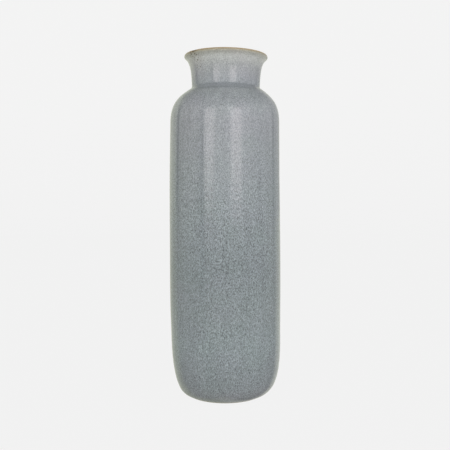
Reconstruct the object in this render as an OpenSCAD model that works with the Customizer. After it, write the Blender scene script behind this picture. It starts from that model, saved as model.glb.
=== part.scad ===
// Tall stoneware bottle vase: a thrown body, a flared neck luted on to it with slip, a reactive
// glaze outside and a thin liner glaze inside. Everything is turned about Z. The origin is the
// middle of the foot, on the surface that the vase stands on, and +Z runs up to the mouth.

/* [Overall] */
// Height from the standing surface to the top of the lip
vase_h = 300; // [240:1:380]
// Widest diameter, at the belly, over the glaze
belly_d = 98.6; // [80:0.2:124]
// Height of the widest place
belly_z = 107; // [85:1:160]
// How far the wall draws in above and below the belly, on the radius
swell = 0.7; // [0.2:0.05:2]
// Outside diameter of the lip
mouth_d = 74.4; // [64:0.2:92]

/* [Foot] */
// Outside diameter of the flat ring that the vase stands on
foot_d = 68.4; // [56:0.2:76]
// Width of that ring
foot_w = 4; // [2.5:0.1:6]
// Depth of the trimmed recess inside the ring
foot_recess = 2.4; // [1:0.1:3.5]
// How far the middle of the recess is domed above its edge
foot_dome = 0.4; // [0:0.1:1]
// Slope at which the outline leaves the ring, in degrees above level
foot_slope = 26; // [10:1:40]
// Height at which the rounded base has become the wall
base_h = 56; // [44:1:70]

/* [Shoulder and neck] */
// Height of the rounded shoulder, from the wall to the crease
shoulder_h = 30.4; // [24:0.2:40]
// Slope of the shoulder where it meets the neck, in degrees
shoulder_slope = 34; // [20:1:45]
// Height of the neck, from the crease to the top of the lip
neck_h = 29.5; // [24:0.5:38]
// Diameter of the neck at the crease, over the glaze
neck_d = 60.4; // [48:0.2:64]
// Height above the crease at which the neck starts to flare outside
waist_h = 4.5; // [3:0.1:7]
// How far the neck has opened by then, on the radius
waist_out = 0.25; // [0:0.05:1]
// Height above the crease at which the straight throat ends inside
throat_h = 13.6; // [8:0.1:16]
// Overhang of the flare where it meets the lip, in degrees from upright
flare_lean = 53; // [30:1:60]

/* [Clay] */
// Thickness of the side wall with its glazes
wall_t = 5; // [3.5:0.1:6.5]
// Extra thickness left low in the wall, above the foot
base_t = 3.2; // [1:0.1:4]
// Thickness of the floor at its middle
floor_t = 4.6; // [3.5:0.1:7]
// Thickness of the round lip
lip_t = 3.4; // [2.4:0.1:4.4]
// Thickness of the slip between body and neck
slip_t = 0.8; // [0.4:0.1:1.5]

/* [Glaze] */
// Thickness of the outside glaze
glaze_t = 0.6; // [0.3:0.05:0.9]
// Thickness of the liner glaze
liner_t = 0.4; // [0.2:0.05:0.7]
// Width of the bare clay strip above the standing ring
bare_foot = 2.4; // [1:0.1:4]
// Depth of the bare clay below the top of the lip
bare_lip = 1; // [0.6:0.1:2.4]
// Height over which a glaze thins out to nothing at its edge
feather = 1.4; // [0.8:0.1:3]

/* [Hidden] */
$fn = 128;

// Places along the outline
belly_r = belly_d / 2;
wall_r = belly_r - swell;
crease_z = vase_h - neck_h;
high_z = crease_z - shoulder_h;
crease_edge = [neck_d / 2, crease_z];
waist = crease_edge + [waist_out, waist_h];
lip_r = lip_t / 2;
lip_mid = [mouth_d / 2 - lip_r, vase_h - lip_r];

// Inside of the clay. The throat is a straight bore below the flare.
bore_r = neck_d / 2 - wall_t;
throat_r = bore_r + liner_t;
throat_top = crease_z + throat_h;

// Points in each curve, and the reach of each curve's two handles as a share of what it spans
steps = 14;
base_pull = [0.29, 0.2];
shoulder_pull = [0.56, 0.45];
flare_pull = [0.23, 0.23];
throat_pull = [0.22, 0.18];
floor_pull = [0.5, 0.16];
recess_pull = [0.7, 1];

function unit(v) = v / norm(v);

// Direction at an angle above level
function heading(a) = [cos(a), sin(a)];

// Outward normal of a line that climbs in direction d
function outward(d) = [d[1], -d[0]];

// A station is a point with its climbing direction. This moves it towards the axis by t.
function inset(s, t) = s[0] - t * outward(s[1]);

// Where the line through p along u meets the line through q along v
function meet(p, u, q, v) = p + u * cross(q - p, v) / cross(u, v);

function limit(x) = max(0, min(1, x));

function firsts(line) = [for (s = line) s[0]];
function back(list) = [for (i = [len(list) - 1:-1:0]) list[i]];
function tail(list) = [for (i = [1:len(list) - 1]) list[i]];

// Stations of the cubic curve from p to q, which leaves along u and arrives along v. reach_p and
// reach_q are its handles, and first is 1 where the station before it already has its start.
function curve(p, u, reach_p, q, v, reach_q, first = 0) =
    let (b = p + reach_p * u, c = q - reach_q * v)
    [for (i = [first:steps])
        let (t = i / steps, s = 1 - t)
        [
            p * s ^ 3 + 3 * b * t * s ^ 2 + 3 * c * t ^ 2 * s + q * t ^ 3,
            unit((b - p) * s ^ 2 + 2 * (c - b) * t * s + (q - c) * t ^ 2)
        ]];

// The nearly straight wall between two heights is a parabola about the belly.
function wall_dir(z, end_z) =
    let (u = (z - belly_z) / (end_z - belly_z))
    unit([-2 * swell * u / (end_z - belly_z), 1]);
function wall_line(from, to, end_z) =
    [for (i = [1:steps])
        let (z = from + (to - from) * i / steps, u = (z - belly_z) / (end_z - belly_z))
        [[belly_r - swell * u ^ 2, z], wall_dir(z, end_z)]];

// Outline of the body over its glaze, from the standing ring up to the crease
foot_dir = heading(foot_slope);
ring_edge = [foot_d / 2, 0];
glaze_edge = ring_edge + bare_foot * foot_dir;
shoulder_dir = heading(180 - shoulder_slope);
body_line = concat(
    [[ring_edge, foot_dir]],
    curve(glaze_edge, foot_dir, base_pull[0] * belly_r,
        [wall_r, base_h], wall_dir(base_h, base_h), base_pull[1] * base_h),
    wall_line(base_h, belly_z, base_h),
    wall_line(belly_z, high_z, high_z),
    curve([wall_r, high_z], wall_dir(high_z, high_z), shoulder_pull[0] * shoulder_h,
        crease_edge, shoulder_dir, shoulder_pull[1] * shoulder_h, 1)
);

// Outline of the neck over its glaze, from the crease up and round half of the lip
neck_dir = unit(waist - crease_edge);
flare_dir = [sin(flare_lean), cos(flare_lean)];
function lip_station(a) = [lip_mid + lip_r * heading(a), heading(a + 90)];
neck_line = concat(
    [[waist, neck_dir]],
    curve(waist, neck_dir, flare_pull[0] * neck_h,
        lip_station(-flare_lean)[0], flare_dir, flare_pull[1] * neck_h, 1),
    [for (i = [1:8]) lip_station(-flare_lean + (90 + flare_lean) * i / 8)]
);

// The outer glaze thins to nothing above the foot and below the top of the lip.
function coat(s) = glaze_t * min(
    limit((s[0][1] - glaze_edge[1]) / feather),
    limit((vase_h - bare_lip - s[0][1]) / feather)
);
function glazed(line) = [for (s = line) if (coat(s) > 0) s];

// The clay's own crease is sharp, because both of its lines are set in by the same glaze.
crease = meet(
    inset([crease_edge, shoulder_dir], glaze_t), shoulder_dir,
    inset([crease_edge, neck_dir], glaze_t), neck_dir
);
slip_edge = crease + slip_t * neck_dir;
below_crease = [for (i = [0:len(body_line) - 2]) body_line[i]];
body_clay = concat([for (s = below_crease) inset(s, coat(s))], [crease]);
neck_clay = [for (s = neck_line) inset(s, coat(s))];

// Inside of the body. The wall is thickest just above the foot, and the inside follows the
// outline from where that is steeper than the corner of the floor.
floor_turn = 40;
wall_stations = [for (s = body_line) if (s[1][0] < cos(floor_turn)) s];
function depth(s) = wall_t + base_t * limit(1 - s[0][1] / base_h) ^ 2;
function body_inside(t) = [for (s = wall_stations) inset(s, depth(s) + t)];
function shoulder_meets(t, r) =
    meet(inset(body_line[len(body_line) - 1], wall_t + t), shoulder_dir, [r, 0], [0, 1]);
clay_step = shoulder_meets(-liner_t, throat_r);
liner_step = shoulder_meets(0, bore_r);

// The floor runs level from the axis and joins the inside of the wall smoothly.
floor_z = foot_recess + floor_t;
function floor_line(t) =
    let (edge = body_inside(t)[0])
    firsts(curve([0, floor_z + liner_t + t], heading(0), floor_pull[0] * edge[0],
        edge, wall_stations[0][1], floor_pull[1] * edge[0]));

// Inside of the neck: the straight throat, then a flare that comes round over the lip
lip_inside = lip_station(180 - flare_lean)[0];
flare_line = curve([throat_r, throat_top], heading(90), throat_pull[0] * neck_h,
    lip_inside, flare_dir, throat_pull[1] * neck_h);
lip_over = [for (i = [1:3]) lip_station(90 + (90 - flare_lean) * i / 4)[0]];
function lining(s) = liner_t * limit((vase_h - bare_lip - s[0][1]) / feather);
lined = [for (s = flare_line) if (lining(s) > 0) s];
lined_end = flare_line[len(lined)][0];

// Underside: the ring's inner face leans in and runs out into the slightly domed recess.
ring_in = foot_d / 2 - foot_w;
ring_lean = 115;
underside = concat(
    firsts(curve([ring_in, 0], heading(ring_lean), recess_pull[0] * foot_recess,
        [ring_in - 2 * foot_recess, foot_recess], heading(180), recess_pull[1] * foot_recess)),
    [[0, foot_recess + foot_dome]]
);

module turned(points) {
    rotate_extrude() polygon(points);
}

// Thrown and trimmed body: floor, wall and shoulder, with a bare foot ring
module stoneware_body() {
    color("#b9a88e") turned(concat(
        body_clay,
        [clay_step],
        back(body_inside(-liner_t)),
        tail(back(floor_line(-liner_t))),
        back(underside)
    ));
}

// Flared neck, thrown apart and set on the shoulder, with a bare round lip
module stoneware_neck() {
    color("#b9a88e") turned(concat(
        [slip_edge],
        neck_clay,
        lip_over,
        back(firsts(flare_line)),
        [[throat_r, clay_step[1] + slip_t]]
    ));
}

// Slip that luted the neck to the shoulder, now fired hard
module luting_slip() {
    color("#a8967c") turned([
        crease,
        slip_edge,
        [throat_r, clay_step[1] + slip_t],
        clay_step
    ]);
}

// Glaze over the outside, one skin across the join
module outer_glaze() {
    low = glazed(body_line);
    high = glazed(neck_line);
    first = len(body_line) - len(low);
    color("#8d989b") turned(concat(
        [body_line[first - 1][0]],
        firsts(low),
        firsts(high),
        [neck_line[len(high)][0]],
        back([for (s = high) inset(s, coat(s))]),
        [slip_edge],
        back([for (i = [first:len(body_clay) - 1]) body_clay[i]])
    ));
}

// Thin glaze over the inside, from just under the lip to the floor
module liner_glaze() {
    color("#9aa2a2") turned(concat(
        floor_line(0),
        tail(body_inside(0)),
        [liner_step],
        [for (s = lined) inset(s, lining(s))],
        [lined_end],
        back(firsts(lined)),
        [clay_step],
        back(body_inside(-liner_t)),
        tail(back(floor_line(-liner_t)))
    ));
}

stoneware_body();
stoneware_neck();
luting_slip();
outer_glaze();
liner_glaze();
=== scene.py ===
import math

import bpy
import numpy as np
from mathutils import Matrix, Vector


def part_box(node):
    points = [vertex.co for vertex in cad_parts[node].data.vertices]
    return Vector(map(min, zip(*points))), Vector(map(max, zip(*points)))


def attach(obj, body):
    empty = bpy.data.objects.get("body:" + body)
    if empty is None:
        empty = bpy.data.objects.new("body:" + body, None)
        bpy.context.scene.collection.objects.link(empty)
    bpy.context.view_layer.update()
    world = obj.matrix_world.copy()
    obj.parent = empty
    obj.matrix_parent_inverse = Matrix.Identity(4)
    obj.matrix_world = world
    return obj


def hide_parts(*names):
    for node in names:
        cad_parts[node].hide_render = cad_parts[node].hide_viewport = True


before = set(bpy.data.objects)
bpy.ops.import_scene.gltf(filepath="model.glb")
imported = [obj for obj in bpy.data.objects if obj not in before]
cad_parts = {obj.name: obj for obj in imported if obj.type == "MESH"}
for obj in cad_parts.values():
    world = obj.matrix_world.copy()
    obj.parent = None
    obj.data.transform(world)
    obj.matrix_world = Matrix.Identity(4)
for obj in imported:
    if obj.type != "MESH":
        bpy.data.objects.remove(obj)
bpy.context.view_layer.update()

# Stoneware body. Buff clay, thrown as one tall cylinder with a rounded shoulder, and trimmed
# underneath to a low foot ring. The glazes hide all of it but the ring and the recess inside it.
MM = 0.001
body_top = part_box("stoneware_body")[1][2]
skin_low, skin_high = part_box("outer_glaze")
belly_r = (skin_high[0] - skin_low[0]) / 2
belly_z = 107 * MM
swell = 0.7 * MM                     # of the belly, past the straight wall
wall_r = belly_r - swell
foot_r = 34.2 * MM
ring_w = 4 * MM
recess = 2.4 * MM
dome = 0.4 * MM                      # of the recess, above its rim
foot_slope = 26                      # degrees above level, where the base leaves the foot
bare_strip = 2.4 * MM                # clay left bare between the foot and the glaze
feather = 1.4 * MM                   # height over which a glaze's edge thins to nothing
base_h = 56 * MM
foot_reach = 0.29 * belly_r          # the base curve's two handles
base_reach = 0.2 * base_h
crease_r = 30.2 * MM
crease_z = 270.5 * MM
shoulder_z = crease_z - 30.4 * MM
shoulder_slope = 34                  # degrees above level, where the shoulder meets the neck
wall_reach = 17.0 * MM               # the shoulder curve's two handles
crease_reach = 13.7 * MM
glaze_t = 0.6 * MM
liner_t = 0.4 * MM
wall_t = 5 * MM                      # the whole wall: outer glaze, clay and liner
base_t = 3.2 * MM                    # what the wall gains towards the floor
floor_z = 7 * MM
inner_start = 8 * MM
floor_rise = 50                      # degrees above level, where the floor meets the wall
seat_out = np.array([crease_r - glaze_t, body_top])
seat_in = np.array([crease_r - wall_t + liner_t, 268.05 * MM])


def heading(degrees):
    """Unit direction in the (radius, height) plane at an angle above level."""
    return np.array([math.cos(math.radians(degrees)), math.sin(math.radians(degrees))])


def bend(start, leave, reach, end, arrive, reach_in, count):
    """Cubic curve of (radius, height) rows. It leaves start along one direction and arrives at
    end along another, and each handle reaches as far as is given."""
    t = np.linspace(0, 1, count + 1)[:, None]
    near, far = start + reach * leave, end - reach_in * arrive
    return (1 - t) ** 3 * start + 3 * (1 - t) ** 2 * t * near + 3 * (1 - t) * t ** 2 * far + t ** 3 * end


def joined(*lines):
    """Outlines end to end, where each starts with the last point of the one before."""
    return np.vstack([lines[0]] + [line[1:] for line in lines[1:]])


def climbing(line):
    """Unit direction of an outline at each of its points."""
    step = np.gradient(line, axis=0)
    return step / np.linalg.norm(step, axis=1)[:, None]


def inset(line, depth):
    """Each point moves by depth against the outward normal, which is the climbing direction
    turned a quarter to the right."""
    step = climbing(line)
    return line - np.reshape(depth, (-1, 1)) * np.stack([step[:, 1], -step[:, 0]], axis=1)


def coat(line, low, high):
    """Share of the full glaze thickness. It rises from nothing over the feather's height above
    low, and falls to nothing over the same height below high."""
    return np.clip(np.minimum((line[:, 1] - low) / feather, (high - line[:, 1]) / feather), 0, 1)


def wander(height):
    """How far the thrown axis strays along +X at a height, as straight runs between what the
    wall does: the ring was trimmed to the left, the base and the neck sit to the right, and the
    middle bows left."""
    places = np.array([0, 8, 20, 75, 130, 190, 240, 262, 272, 300]) * MM
    shifts = np.array([0.1, 1.1, 1.3, 0.3, 0.05, -0.4, -0.2, 0.0, 0.75, 0.85]) * MM
    return np.interp(height, places, shifts)


def lean(height):
    """How much the mouth drops for each metre along +X. It is out of level by under half a
    millimetre, growing smoothly up the last 20 mm of the neck."""
    up = np.clip((height - 280 * MM) / (20 * MM), 0, 1)
    return 0.011 * up ** 2 * (3 - 2 * up)


def turned(name, outline, columns, closed, push=None, values=None):
    """Surface of revolution. Row i, column j is outline point i turned by 2 pi j / columns and
    moved out along its normal by push[i, j], and then it wanders and leans with the pot. An
    outline that starts and ends on the axis has a single point at each end, and a closed one
    joins its last row to its first. values are float attributes, each a grid of rows and columns."""
    rows = len(outline)
    angle = np.arange(columns) * 2 * np.pi / columns
    radius = np.repeat(outline[:, :1], columns, 1)
    height = np.repeat(outline[:, 1:], columns, 1)
    if push is not None:
        step = climbing(outline)
        radius = radius + push * step[:, 1:]
        height = height - push * step[:, :1]
    shift = wander(height) * np.minimum(1, radius / (5 * MM))
    across = radius * np.cos(angle)
    grid = np.stack([across + shift, radius * np.sin(angle), height - lean(height) * across], axis=2)
    ids = np.arange(rows * columns).reshape(rows, columns)
    if closed:
        upper, lower = np.roll(ids, -1, axis=0), ids
    else:
        ids[0], ids[-1] = ids[0, 0], ids[-1, 0]
        upper, lower = ids[1:], ids[:-1]
    faces = np.stack([lower, np.roll(lower, -1, 1), np.roll(upper, -1, 1), upper], axis=2).reshape(-1, 4)
    used, faces = np.unique(faces, return_inverse=True)
    faces = faces.reshape(-1, 4)
    at_start = faces[:, 0] == faces[:, 1]
    at_end = faces[:, 2] == faces[:, 3]
    corners = faces[at_start, 1:].tolist() + faces[at_end, :3].tolist()
    mesh = bpy.data.meshes.new(name)
    mesh.from_pydata(grid.reshape(-1, 3)[used].tolist(), [], faces[~at_start & ~at_end].tolist() + corners)
    for label, value in (values or {}).items():
        spread = np.broadcast_to(value, (rows, columns)).reshape(-1)[used]
        mesh.attributes.new(label, "FLOAT", "POINT").data.foreach_set("value", spread.astype(np.float32))
    mesh.polygons.foreach_set("use_smooth", np.ones(len(mesh.polygons), dtype=bool))
    mesh.update()
    piece = bpy.data.objects.new(name, mesh)
    bpy.context.scene.collection.objects.link(piece)
    return piece


def srgb(code):
    """Linear red, green, blue and alpha of a hex colour."""
    parts = [int(code[i:i + 2], 16) / 255 for i in (1, 3, 5)]
    return [p / 12.92 if p <= 0.04045 else ((p + 0.055) / 1.055) ** 2.4 for p in parts] + [1.0]


def add(tree, kind, inputs=None, **settings):
    """Adds a node with its settings. An input is named by its label or number, and is given a
    value, an output to link, or a node whose first live output is linked."""
    node = tree.nodes.new(kind)
    for key, value in settings.items():
        setattr(node, key, value)
    for label, value in (inputs or {}).items():
        socket = (node.inputs[label] if isinstance(label, int)
                  else next(s for s in node.inputs if s.enabled and s.name == label))
        if isinstance(value, bpy.types.Node):
            value = next(s for s in value.outputs if s.enabled)
        if isinstance(value, bpy.types.NodeSocket):
            tree.links.new(value, socket)
        else:
            socket.default_value = value
    return node


def empty_material(name):
    """A new material and its empty tree."""
    material = bpy.data.materials.new(name)
    material.use_nodes = True
    material.node_tree.nodes.clear()
    return material, material.node_tree


# The glazed outline climbs from the bare strip round the base, up the barely swollen wall, and in
# over the shoulder to the crease.
COLUMNS = 288
foot_dir = heading(foot_slope)
glaze_edge = np.array([foot_r, 0]) + bare_strip * foot_dir
wall_slope = np.array([2 * swell / (belly_z - base_h), 1])
wall_slope /= np.linalg.norm(wall_slope)
lean_in = np.array([-2 * swell / (shoulder_z - belly_z), 1])
lean_in /= np.linalg.norm(lean_in)
shoulder_dir = heading(180 - shoulder_slope)
crease_edge = np.array([crease_r, crease_z])
base_line = bend(
    glaze_edge, foot_dir, foot_reach, np.array([wall_r, base_h]), wall_slope, base_reach, 48)
wall_z = np.linspace(base_h, shoulder_z, 109)
far_end = np.where(wall_z < belly_z, base_h, shoulder_z)
wall_line = np.stack([belly_r - swell * ((wall_z - belly_z) / (far_end - belly_z)) ** 2, wall_z], axis=1)
shoulder_line = bend(
    np.array([wall_r, shoulder_z]), lean_in, wall_reach, crease_edge, shoulder_dir, crease_reach, 48)
body_skin = joined(base_line, wall_line, shoulder_line)

# The clay lies under the glaze on the outside. Inside, the wall thickens towards the floor.
body_clay = inset(body_skin, glaze_t * coat(body_skin, glaze_edge[1], 1))[::4]
body_clay[-1] = seat_out
depth = wall_t - liner_t + base_t * np.clip(1 - body_skin[:, 1] / base_h, 0, 1) ** 2
inner = inset(body_skin, depth)[::4]
inner = inner[body_skin[::4, 1] > inner_start]
floor_line = bend(
    np.array([0, floor_z]), heading(0), 0.5 * inner[0, 0], inner[0], heading(floor_rise),
    0.16 * inner[0, 0], 14)
ring_in = foot_r - ring_w
under_line = bend(
    np.array([ring_in, 0]), heading(115), 0.7 * recess,
    np.array([ring_in - 2 * recess, recess]), heading(180), recess, 10)
under_line = np.vstack([under_line, [0, recess + dome]])[::-1]
foot_face = np.array([[foot_r - ring_w / 2, 0], [foot_r, 0]])
body_outline = np.vstack([
    under_line, foot_face, body_clay, [seat_in], inner[::-1], floor_line[-2::-1]])

# Bare stoneware is buff clay fired matt and faintly sandy, with iron specks. It shows on the foot
# ring, and as the tan line where the glaze breaks at the lip. Its sand, 0.2 mm in the clay, and
# its specks, under 0.3 mm, would be too fine to show, so both are drawn coarser.
bare_clay, tree = empty_material("bare_buff_stoneware")
place = add(tree, "ShaderNodeTexCoord").outputs["Object"]
sand = add(tree, "ShaderNodeTexNoise", {"Vector": place, "Scale": 1 / (0.8 * MM), "Detail": 3.0})
cloud = add(tree, "ShaderNodeTexNoise", {"Vector": place, "Scale": 1 / (9 * MM), "Detail": 2.0})
specks = add(tree, "ShaderNodeTexVoronoi", {"Vector": place, "Scale": 1 / (2.4 * MM)})
buff = add(tree, "ShaderNodeMix", {"Factor": sand, "A": srgb("#a39273"), "B": srgb("#c6b896")},
           data_type="RGBA")
warm = add(tree, "ShaderNodeMix", {"Factor": cloud, "A": buff, "B": srgb("#a8916c")}, data_type="RGBA")
iron = add(tree, "ShaderNodeMapRange", {"Value": specks, "From Min": 0.16, "From Max": 0.08})
clay_colour = add(tree, "ShaderNodeMix", {"Factor": iron, "A": warm, "B": srgb("#5b4530")},
                  data_type="RGBA")

# The lowest 9 mm are drawn darker, partly as clay toasted where it stood close to the kiln shelf
# and partly as painted shade near the floor, and the clay in the chips is stained darker still.
level = add(tree, "ShaderNodeSeparateXYZ", {"Vector": place})
foot_toast_and_shade = add(tree, "ShaderNodeMapRange", {"Value": level.outputs["Z"], "From Min": 9 * MM,
                                              "From Max": 1 * MM, "To Max": 0.75})
toasted_and_shaded = add(tree, "ShaderNodeMix", {"Factor": foot_toast_and_shade, "A": clay_colour, "B": srgb("#5e5548")},
              data_type="RGBA")
chip = add(tree, "ShaderNodeAttribute", attribute_name="chipped")
chip_colour = add(tree, "ShaderNodeMix", {"Factor": chip.outputs["Fac"], "A": toasted_and_shaded,
                                          "B": srgb("#4e4331")}, data_type="RGBA")
grit = add(tree, "ShaderNodeBump", {"Height": sand, "Strength": 0.4, "Distance": 0.1 * MM})
clay = add(tree, "ShaderNodeBsdfPrincipled", {
    "Base Color": chip_colour, "Roughness": 0.7, "IOR": 1.5, "Normal": grit})
add(tree, "ShaderNodeOutputMaterial", {"Surface": clay})

body = turned("thrown_body", body_outline, COLUMNS, closed=False)
body.data.materials.append(bare_clay)
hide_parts("stoneware_body")
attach(body, "root")

# Neck. A short flared collar of the same clay, thrown apart and set on the shoulder while both
# were leather hard. Its lip is rolled round, and the clay shows where the glaze ran off it.
lip_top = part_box("stoneware_neck")[1][2]
lip_r = 1.7 * MM
mouth_r = 37.2 * MM
flare_lean = 53
flare_reach = 6.8 * MM
throat_top = np.array([seat_in[0], crease_z + 13.6 * MM])
throat_reach = 6.5 * MM
lip_reach = 5.3 * MM
bare_lip = lip_top - 1.0 * MM
slip_t = 0.8 * MM
lip_mid = np.array([mouth_r - lip_r, lip_top - lip_r])
flare_dir = heading(90 - flare_lean)
waist = crease_edge + np.array([0.25, 4.5]) * MM
neck_dir = (waist - crease_edge) / np.linalg.norm(waist - crease_edge)


def lip_arc(start, end, count):
    """Points round the lip between two angles, anticlockwise, about the middle of its roll."""
    return np.array([lip_mid + lip_r * heading(a) for a in np.linspace(start, end, count + 1)])


neck_skin = joined(
    np.linspace(crease_edge, waist, 7),
    bend(waist, neck_dir, flare_reach, lip_arc(-flare_lean, 0, 1)[0], flare_dir, flare_reach, 32),
    lip_arc(-flare_lean, 90, 12))
neck_clay = inset(neck_skin, glaze_t * coat(neck_skin, -1, bare_lip))
neck_clay[0] = seat_out + [0, slip_t]
flare_in = bend(
    throat_top, heading(90), throat_reach, lip_arc(180 - flare_lean, 180, 1)[0],
    flare_dir, lip_reach, 20)
neck_outline = np.vstack([
    neck_clay, lip_arc(90, 180 - flare_lean, 5)[1:], flare_in[-2::-1], [seat_in + [0, slip_t]]])

columns_at = np.arange(COLUMNS) * 2 * np.pi / COLUMNS


def chips(outline):
    """Depth of the chips in the lip. Each is a dimple, deepest at its middle and fading as a bell
    curve of the distance over its size. Azimuth runs to the right of the front, -Y. The columns
    are azimuth in degrees, then height, size and depth in millimetres."""
    deep = 0
    for azimuth, height, size, depth in [
            (-50, 298.9, 1.1, 0.4), (-45.5, 299.1, 0.8, 0.3), (-55, 297.6, 0.9, 0.3)]:
        turn = np.angle(np.exp(1j * (columns_at - math.radians(azimuth - 90))))
        away = (turn * outline[:, :1]) ** 2 + (outline[:, 1:] - height * MM) ** 2
        away = away + (np.minimum(outline[:, :1] - lip_mid[0], 0)) ** 2
        deep = deep + depth * MM * np.exp(-away / (size * MM) ** 2)
    return deep


def chipped_share(outline):
    """Share of the chip colour, which is full where a chip is 0.3 mm deep or more."""
    return np.clip(chips(outline) / (0.3 * MM), 0, 1)


neck = turned("flared_neck", neck_outline, COLUMNS, closed=True, push=-chips(neck_outline),
              values={"chipped": chipped_share(neck_outline)})
neck.data.materials.append(bare_clay)
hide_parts("stoneware_neck")
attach(neck, "root")

# Luting slip. Runny clay brushed between neck and shoulder to join them. It is a thin conical
# washer, closed in by the clay on both sides and by the glazes.
slip_outline = np.array([seat_out, seat_out + [0, slip_t], seat_in + [0, slip_t], seat_in])
slip = turned("slip_ring", slip_outline, COLUMNS, closed=True)
slip.data.materials.append(bare_clay)
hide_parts("luting_slip")
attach(slip, "root")

# Outer glaze. A reactive stoneware glaze, sprayed on and fired to a satin blue-grey with fine
# light and dark flecks. It pools in the crease, thins up the flare and breaks tan on the lip.
fillet = 2.2 * MM
fillet_reach = 0.8 * fillet
below = body_skin[np.linalg.norm(body_skin - crease_edge, axis=1) > fillet]
above = neck_skin[np.linalg.norm(neck_skin - crease_edge, axis=1) > fillet]
above = above[above[:, 1] < bare_lip]
pool_line = bend(below[-1], shoulder_dir, fillet_reach, above[0], neck_dir, fillet_reach, 6)
outer = np.vstack([below, pool_line[1:-1], above])
clay_side = np.vstack([body_clay, neck_clay[neck_skin[:, 1] < bare_lip][1:]])
glaze_outline = np.vstack([outer, clay_side[:0:-1]])
height = glaze_outline[:, 1:]

# Throwing rings that show through the glaze, 7 mm apart and a few hundredths of a millimetre
# deep, and faint vertical runs: a sum of waves, 9 to 30 to the turn, that drift with the height.
# Neither reaches the edges of the coat.
ring_step = 7 * MM
ring_depth = 0.03 * MM
run_depth = 0.02 * MM
rng = np.random.default_rng(7)
runs = sum(
    rng.normal() / 3 * np.cos(k * columns_at + rng.uniform(0, 2 * np.pi) + 1.5 * np.sin(height / (60 * MM)))
    for k in range(9, 33, 3))
rings = np.sin(2 * np.pi * height / ring_step + columns_at) * (0.6 + 0.4 * np.sin(height / (23 * MM)))
on_top = np.arange(len(glaze_outline))[:, None] < len(outer)
calm = coat(glaze_outline, glaze_edge[1], bare_lip)[:, None] * on_top
push = calm * (ring_depth * rings + run_depth * runs) - chips(glaze_outline)

# Share of full cover, which falls off over the last 2.4 mm to the lip, and share of pooled glaze,
# a bell curve about each height where it gathers. The columns are the share, and the height
# above the crease and the reach in millimetres.
cover = np.clip((bare_lip + 0.3 * MM - height) / (2.4 * MM), 0, 1)
pooled = sum(
    share * np.exp(-((height - crease_z - up * MM) / (reach * MM)) ** 2)
    for share, up, reach in [(0.22, 2.0, 3.0), (0.42, 0.1, 1.3), (0.6, -3.6, 1.0)])
glaze = turned("speckled_outer_glaze", glaze_outline, COLUMNS, closed=True, push=push,
               values={"cover": cover, "pooled": pooled, "chipped": chipped_share(glaze_outline)})


def ramp(tree, fac, stops):
    """Colour ramp whose stops are pairs of a place from 0 to 1 and a linear grey or a hex colour."""
    node = add(tree, "ShaderNodeValToRGB", {"Fac": fac})
    elements = node.color_ramp.elements
    while len(elements) < len(stops):
        elements.new(1.0)
    for element, (at, value) in zip(elements, stops):
        element.position = at
        element.color = srgb(value) if isinstance(value, str) else [value] * 3 + [1.0]
    return node


# Satin glaze is glass with a slight haze, so the lamps show in it as strips with soft edges. Its
# colour follows the height: darker near the foot and across the middle, and paler up the
# shoulder and the flare. That was matched under the room's light, so it is partly the glaze's own
# colour and partly painted shade low down and painted light up the shoulder and the flare.
satin_glaze, tree = empty_material("satin_speckled_stoneware_glaze")
place = add(tree, "ShaderNodeTexCoord").outputs["Object"]
tall = add(tree, "ShaderNodeSeparateXYZ", {"Vector": place})
share_up = add(tree, "ShaderNodeMath", {0: tall.outputs["Z"], 1: lip_top}, operation="DIVIDE")
# Darker low down and paler up top: partly glaze colour, partly painted shade and painted light.
tone_and_shade_by_height = ramp(tree, share_up, [
    (0.0, "#72757a"), (0.02, "#7c8083"), (0.05, "#7f8689"), (0.1, "#828a8d"), (0.16, "#889194"),
    (0.25, "#828a8d"), (0.37, "#7b8387"), (0.45, "#7f878b"), (0.6, "#868d91"), (0.78, "#8c9095"),
    (0.85, "#94989d"), (0.88, "#979ca0"), (0.91, "#90949a"), (0.93, "#8f9297"), (0.955, "#97999c"),
    (0.98, "#aeafae"), (0.995, "#a09e95")])

# Flecks. A light fleck and the dark gap beside it measure about 1.4 mm together, two cells of the
# noise, and they are drawn out to twice that up the wall. The finest crystals in such a glaze are
# a tenth of a millimetre and too fine to show. The flecks are boldest at mid height.
upright = add(tree, "ShaderNodeMapping", {"Vector": place, "Scale": (1, 1, 0.52)})
grain = add(tree, "ShaderNodeTexNoise", {"Vector": upright, "Scale": 1 / (0.68 * MM), "Detail": 3.0,
                                         "Roughness": 0.6})
centred = add(tree, "ShaderNodeMath", {0: grain, 1: 0.5}, operation="SUBTRACT")
boldness = ramp(tree, share_up, [
    (0.0, 0.85), (0.25, 0.9), (0.4, 1.02), (0.55, 1.0), (0.75, 0.6), (0.85, 0.62), (0.92, 0.45),
    (1.0, 0.45)])
bold = add(tree, "ShaderNodeMath", {0: boldness, 1: 3.6}, operation="MULTIPLY")
flecks = add(tree, "ShaderNodeMath", {0: centred, 1: bold, 2: 1.0}, operation="MULTIPLY_ADD")
flecked = add(tree, "ShaderNodeVectorMath", {0: tone_and_shade_by_height, "Scale": flecks}, operation="SCALE")

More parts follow.
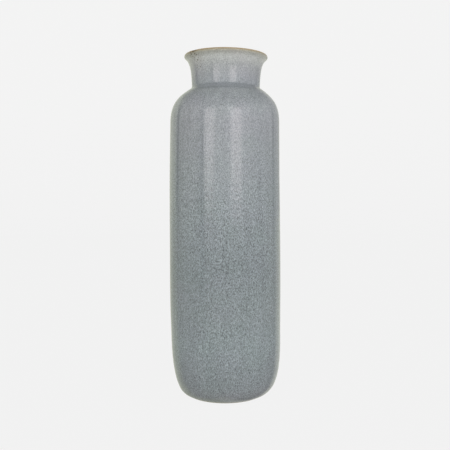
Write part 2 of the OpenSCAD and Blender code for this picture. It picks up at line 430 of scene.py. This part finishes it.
# A faint drift of hue over 24 mm, and broad streaks 5 mm wide and twenty times as tall.
cloud = add(tree, "ShaderNodeTexNoise", {"Vector": place, "Scale": 1 / (24 * MM), "Detail": 1.0})
drift = ramp(tree, cloud, [(0.35, "#fcfffc"), (0.65, "#fefefe")])
drifted = add(tree, "ShaderNodeMix", {"Factor": 1.0, "A": flecked, "B": drift}, data_type="RGBA",
              blend_type="MULTIPLY")
streak_place = add(tree, "ShaderNodeMapping", {"Vector": place, "Scale": (1, 1, 0.05)})
streaks = add(tree, "ShaderNodeTexNoise", {"Vector": streak_place, "Scale": 1 / (5 * MM), "Detail": 2.0})
streak_share = add(tree, "ShaderNodeMapRange", {"Value": streaks, "From Min": 0.3, "From Max": 0.7,
                                                "To Min": 0.94, "To Max": 1.06})
streaked = add(tree, "ShaderNodeVectorMath", {0: drifted, "Scale": streak_share}, operation="SCALE")

# Four thin upright lines, a shade darker: painted reflections of the room's dark edges and gaps,
# set into the glaze colour, so they stay where they are when the view moves. The
# first ramp goes once round the pot from -X through the front. The second fades the lines out
# from the shoulder down.
turn = add(tree, "ShaderNodeTexGradient", {"Vector": place}, gradient_type="RADIAL")
painted_edge_reflections = ramp(tree, turn, [
    (0.0, 1.0), (0.094, 1.0), (0.0965, 0.74), (0.0995, 0.74), (0.102, 1.0),
    (0.183, 1.0), (0.1855, 0.8), (0.187, 0.82), (0.1895, 1.0), (0.239, 1.0), (0.2465, 0.9),
    (0.254, 1.0), (0.405, 1.0), (0.41, 0.88), (0.415, 1.0)])
reflection_heights = ramp(tree, share_up, [
    (0.0, 0.0), (0.25, 0.0), (0.45, 0.2), (0.6, 0.35), (0.7, 0.9), (0.855, 1.0), (0.885, 0.0)])
with_edge_reflections = add(tree, "ShaderNodeMix", {"Factor": reflection_heights, "A": streaked, "B": painted_edge_reflections},
               data_type="RGBA", blend_type="MULTIPLY")

# Pooled glaze is deeper and bluer. Round the chips the glaze has a brown bloom, and iron specks of
# about a millimetre gather in it, drawn larger than real ones so that they show.
pool = add(tree, "ShaderNodeAttribute", attribute_name="pooled")
pool_amount = add(tree, "ShaderNodeMath", {0: pool.outputs["Fac"], 1: 0.4}, operation="MULTIPLY")
deep = add(tree, "ShaderNodeMix", {"Factor": pool_amount, "A": with_edge_reflections, "B": srgb("#3f4c52")},
           data_type="RGBA")
chip_place = (-28 * MM, -23 * MM, 296.5 * MM)
near_chips = add(tree, "ShaderNodeVectorMath", {0: place, 1: chip_place}, operation="DISTANCE")
bloom = add(tree, "ShaderNodeMapRange", {"Value": near_chips.outputs["Value"], "From Min": 15 * MM,
                                         "From Max": 3 * MM, "To Max": 0.2})
bloomed = add(tree, "ShaderNodeMix", {"Factor": bloom, "A": deep, "B": srgb("#7f7969")},
              data_type="RGBA")
iron_grain = add(tree, "ShaderNodeTexNoise", {"Vector": place, "Scale": 1 / (1.1 * MM), "Detail": 1.0})
iron_near = add(tree, "ShaderNodeMath", {0: iron_grain, 1: bloom}, operation="ADD")
iron = add(tree, "ShaderNodeMapRange", {"Value": iron_near, "From Min": 0.74, "From Max": 0.81,
                                        "To Max": 0.9})
specked = add(tree, "ShaderNodeMix", {"Factor": iron, "A": bloomed, "B": srgb("#544c3d")},
              data_type="RGBA")

# The glaze breaks tan where its cover thins, and the chips show stained clay.
covered = add(tree, "ShaderNodeAttribute", attribute_name="cover")
breaking = add(tree, "ShaderNodeMix", {"Factor": covered.outputs["Fac"], "A": srgb("#938970"),
                                       "B": specked}, data_type="RGBA")
chip = add(tree, "ShaderNodeAttribute", attribute_name="chipped")
chipped = add(tree, "ShaderNodeMix", {"Factor": chip.outputs["Fac"], "A": breaking,
                                      "B": srgb("#4e4331")}, data_type="RGBA")
orange_peel = add(tree, "ShaderNodeBump", {"Height": grain, "Strength": 0.12, "Distance": 0.15 * MM})
satin = add(tree, "ShaderNodeBsdfPrincipled", {
    "Base Color": chipped, "Roughness": 0.16, "IOR": 1.5, "Normal": orange_peel})
add(tree, "ShaderNodeOutputMaterial", {"Surface": satin})
glaze.data.materials.append(satin_glaze)
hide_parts("outer_glaze")
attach(glaze, "root")

# Liner glaze. A thinner pour of a plain grey glaze, swilled round the inside and tipped out, so
# it is smoother than the outside. It thins to nothing just under the lip.
under_lip = flare_in[:, 1] < bare_lip
lining = liner_t * coat(flare_in, -1, bare_lip + 0.2 * MM)
flare_lined = inset(flare_in, lining)[under_lip]
liner_step = np.array([seat_in[0] - liner_t, 267.84 * MM])
inner_lined = inset(inner, liner_t)
inner_lined = inner_lined[inner_lined[:, 1] < seat_in[1] - 0.3 * MM]
floor_lined = floor_line + np.array([0, liner_t])
liner_outline = np.vstack([
    floor_line[:-1], inner, [seat_in], flare_in[under_lip], flare_lined[::-1], [liner_step],
    inner_lined[::-1], floor_lined[-2::-1]])

# The liner has a soft sheen and next to no pattern, only a mist over 2.5 mm between two greys.
liner_glaze, tree = empty_material("thin_satin_liner_glaze")
place = add(tree, "ShaderNodeTexCoord").outputs["Object"]
mist = add(tree, "ShaderNodeTexNoise", {"Vector": place, "Scale": 1 / (2.5 * MM), "Detail": 3.0})
liner_colour = add(tree, "ShaderNodeMix", {"Factor": mist, "A": srgb("#8c9494"), "B": srgb("#a9afac")},
                   data_type="RGBA")
liner_skin = add(tree, "ShaderNodeBsdfPrincipled", {
    "Base Color": liner_colour, "Roughness": 0.3, "IOR": 1.52})
add(tree, "ShaderNodeOutputMaterial", {"Surface": liner_skin})

liner = turned("liner_glaze_coat", liner_outline, COLUMNS, closed=False)
liner.data.materials.append(liner_glaze)
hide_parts("liner_glaze")
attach(liner, "root")

# Studio. A pale sweep that is a floor in front and curves up into a wall all round, open above.
# It is only a backdrop, so the lamps and the soft light of the room reach the vase past it.
sweep_r = 3.0
curve_r = 0.8
sweep_h = 4.0
sweep_drop = 0.05 * MM
sides = 96
floor_end = sweep_r - curve_r
curve_at = np.linspace(0.1, np.pi / 2, 16)
sweep_line = np.vstack([
    [[0, 0], [0.5, 0], [floor_end, 0]],
    np.stack([floor_end + curve_r * np.sin(curve_at), curve_r - curve_r * np.cos(curve_at)], axis=1),
    [[sweep_r, sweep_h]]])
angle = np.arange(sides) * 2 * np.pi / sides
sweep_grid = np.stack([
    sweep_line[:, :1] * np.cos(angle), sweep_line[:, :1] * np.sin(angle),
    sweep_line[:, 1:] + 0 * angle - sweep_drop], axis=2)
ids = np.arange(len(sweep_line) * sides).reshape(-1, sides)
quads = np.stack([ids[:-1], ids[1:], np.roll(ids[1:], -1, 1), np.roll(ids[:-1], -1, 1)], axis=2)
sweep_mesh = bpy.data.meshes.new("pale_sweep")
sweep_mesh.from_pydata(sweep_grid.reshape(-1, 3).tolist(), [], quads.reshape(-1, 4).tolist())
sweep = bpy.data.objects.new("pale_sweep", sweep_mesh)
bpy.context.scene.collection.objects.link(sweep)
sweep.visible_diffuse = sweep.visible_glossy = sweep.visible_shadow = False
pale_paper, tree = empty_material("matt_pale_paper")
glow = add(tree, "ShaderNodeEmission", {"Color": srgb("#f3f3f3"), "Strength": 0.97})
paper = add(tree, "ShaderNodeBsdfDiffuse", {"Color": srgb("#303030")})
lit_paper = add(tree, "ShaderNodeAddShader", {0: glow, 1: paper})
add(tree, "ShaderNodeOutputMaterial", {"Surface": lit_paper})
sweep_mesh.materials.append(pale_paper)

# Bounce. What the floor gives back to the vase: the paper is in the vase's and the lamps' shade
# close by, and brighter further out, under the lamps. It comes in strips with darker joints.
bounce_r = 6
bounce_z = -1 * MM
corner_count = 48
angle = np.arange(corner_count) * 2 * np.pi / corner_count
bounce_rim = np.stack([bounce_r * np.cos(angle), bounce_r * np.sin(angle), bounce_z + 0 * angle], axis=1)
bounce_mesh = bpy.data.meshes.new("bounce_floor")
bounce_mesh.from_pydata(bounce_rim.tolist(), [], [tuple(range(corner_count))])
bounce = bpy.data.objects.new("bounce_floor", bounce_mesh)
bpy.context.scene.collection.objects.link(bounce)
bounce.visible_camera = False
bounce_paper, tree = empty_material("paper_under_the_lamps")
place = add(tree, "ShaderNodeTexCoord").outputs["Object"]
far = add(tree, "ShaderNodeVectorMath", {0: place}, operation="LENGTH")
share_out = add(tree, "ShaderNodeMath", {0: far.outputs["Value"], 1: 2.0}, operation="DIVIDE")
brightness = ramp(tree, share_out, [
    (0.0, 0.42), (0.14, 0.36), (0.24, 0.6), (0.45, "#cdcec8"), (0.6, "#cecfc9")])

# The joints run out from a point 47 mm before the axis, under the front of the belly. The ramps go
# round that point from -X through the front, and behind the vase the paper has its own glow.
belly_front = 47 * MM
from_belly = add(tree, "ShaderNodeMapping", {"Vector": place, "Location": (0, belly_front, 0)})
spread = add(tree, "ShaderNodeTexGradient", {"Vector": from_belly}, gradient_type="RADIAL")
joints = ramp(tree, spread, [
    (0.0, 1.0), (0.106, 1.0), (0.111, 0.3), (0.124, 0.3), (0.129, 1.0), (0.57, 1.0),
    (0.578, 0.55), (0.594, 0.55), (0.602, 1.0), (0.918, 1.0), (0.926, 0.7), (0.943, 0.7),
    (0.951, 1.0)])
behind = ramp(tree, spread, [(0.594, 0.0), (0.604, 1.0), (0.916, 1.0), (0.926, 0.0)])
behind_glow = ramp(tree, spread, [
    (0.6, "#c6c7bf"), (0.75, "#c0c2b7"), (0.85, "#b8bbad"), (0.92, "#b1b4a5")])
swept = add(tree, "ShaderNodeMix", {"Factor": behind, "A": brightness, "B": behind_glow},
            data_type="RGBA")
seamed = add(tree, "ShaderNodeMix", {"Factor": 1.0, "A": swept, "B": joints},
             data_type="RGBA", blend_type="MULTIPLY")
paper_glow = add(tree, "ShaderNodeEmission", {"Color": seamed, "Strength": 1.5})
add(tree, "ShaderNodeOutputMaterial", {"Surface": paper_glow})
bounce_mesh.materials.append(bounce_paper)

# Room light. A white wall wraps round the front, dimmer screens stand at both sides and behind,
# and it is dark overhead. The ramp runs round from -X through the front, -Y, to +X and back, and
# its three dark places are the gaps between the screens, above the floor's joints.
world = bpy.data.worlds.new("studio_air")
bpy.context.scene.world = world
world.use_nodes = True
tree = world.node_tree
tree.nodes.clear()
toward = add(tree, "ShaderNodeTexCoord").outputs["Generated"]
round_room = add(tree, "ShaderNodeTexGradient", {"Vector": toward}, gradient_type="RADIAL")
walls = ramp(tree, round_room, [
    (0.0, "#b2b3a9"), (0.02, "#bbbcb2"), (0.1, "#bebfb5"), (0.107, 0.1), (0.13, 0.1),
    (0.137, 0.95), (0.39, 0.9), (0.45, 0.55), (0.573, 0.46), (0.578, 0.05), (0.594, 0.05),
    (0.6, 0.36), (0.65, 0.3), (0.75, "#a3a698"), (0.915, "#b0b4a2"), (0.921, 0.0),
    (0.945, 0.0), (0.951, "#a8a9a0")])
up = add(tree, "ShaderNodeSeparateXYZ", {"Vector": toward})
wall_top = ramp(tree, up.outputs["Z"], [(0.0, 1.0), (0.45, 1.0), (0.62, 0.2), (0.9, 0.0)])
lit_walls = add(tree, "ShaderNodeMix", {"Factor": 1.0, "A": walls, "B": wall_top}, data_type="RGBA",
                blend_type="MULTIPLY")
dim_room = add(tree, "ShaderNodeMix", {"Factor": 1.0, "A": lit_walls, "B": srgb("#454545")},
               data_type="RGBA", blend_type="ADD")
air = add(tree, "ShaderNodeBackground", {"Color": dim_room, "Strength": 1.7})
add(tree, "ShaderNodeOutputWorld", {"Surface": air})


def softbox(name, azimuth, height, distance, width, tall, radiance):
    """Area lamp at a distance from the vase's axis, turned to face it. Azimuth is in degrees to
    the right of the camera, as seen from the camera. Its power is pi x area x radiance."""
    lamp = bpy.data.lights.new(name, "AREA")
    lamp.shape = "RECTANGLE"
    lamp.size, lamp.size_y = width, tall
    lamp.energy = math.pi * width * tall * radiance
    lamp.color = srgb("#fff4f7")[:3]
    holder = bpy.data.objects.new(name, lamp)
    around = math.radians(azimuth)
    holder.location = (distance * math.sin(around), -distance * math.cos(around), height)
    holder.rotation_euler = (math.pi / 2, 0, around)
    holder.visible_camera = False
    bpy.context.scene.collection.objects.link(holder)


# Two tall softboxes before the vase, which show as the two pale strips on its upper half.
softbox("left_strip", azimuth=-31, height=0.53, distance=1.5, width=0.54, tall=0.70, radiance=2.1)
softbox("right_strip", azimuth=23, height=0.58, distance=1.5, width=0.58, tall=0.80, radiance=2.6)

# Camera. It stands level, a little over half way up the vase and 0.58 m before its axis, so that
# the lip is seen from below and the foot from above. The shift centres the vase in the frame.
camera = bpy.data.cameras.new("camera")
camera.lens = 52
camera.shift_y = -0.0722
viewpoint = bpy.data.objects.new("camera", camera)
viewpoint.location = (0, -0.5821, 0.1777)
viewpoint.rotation_euler = (math.pi / 2, 0, 0)
bpy.context.scene.collection.objects.link(viewpoint)
bpy.context.scene.camera = viewpoint
bpy.context.scene.view_settings.view_transform = "Standard"
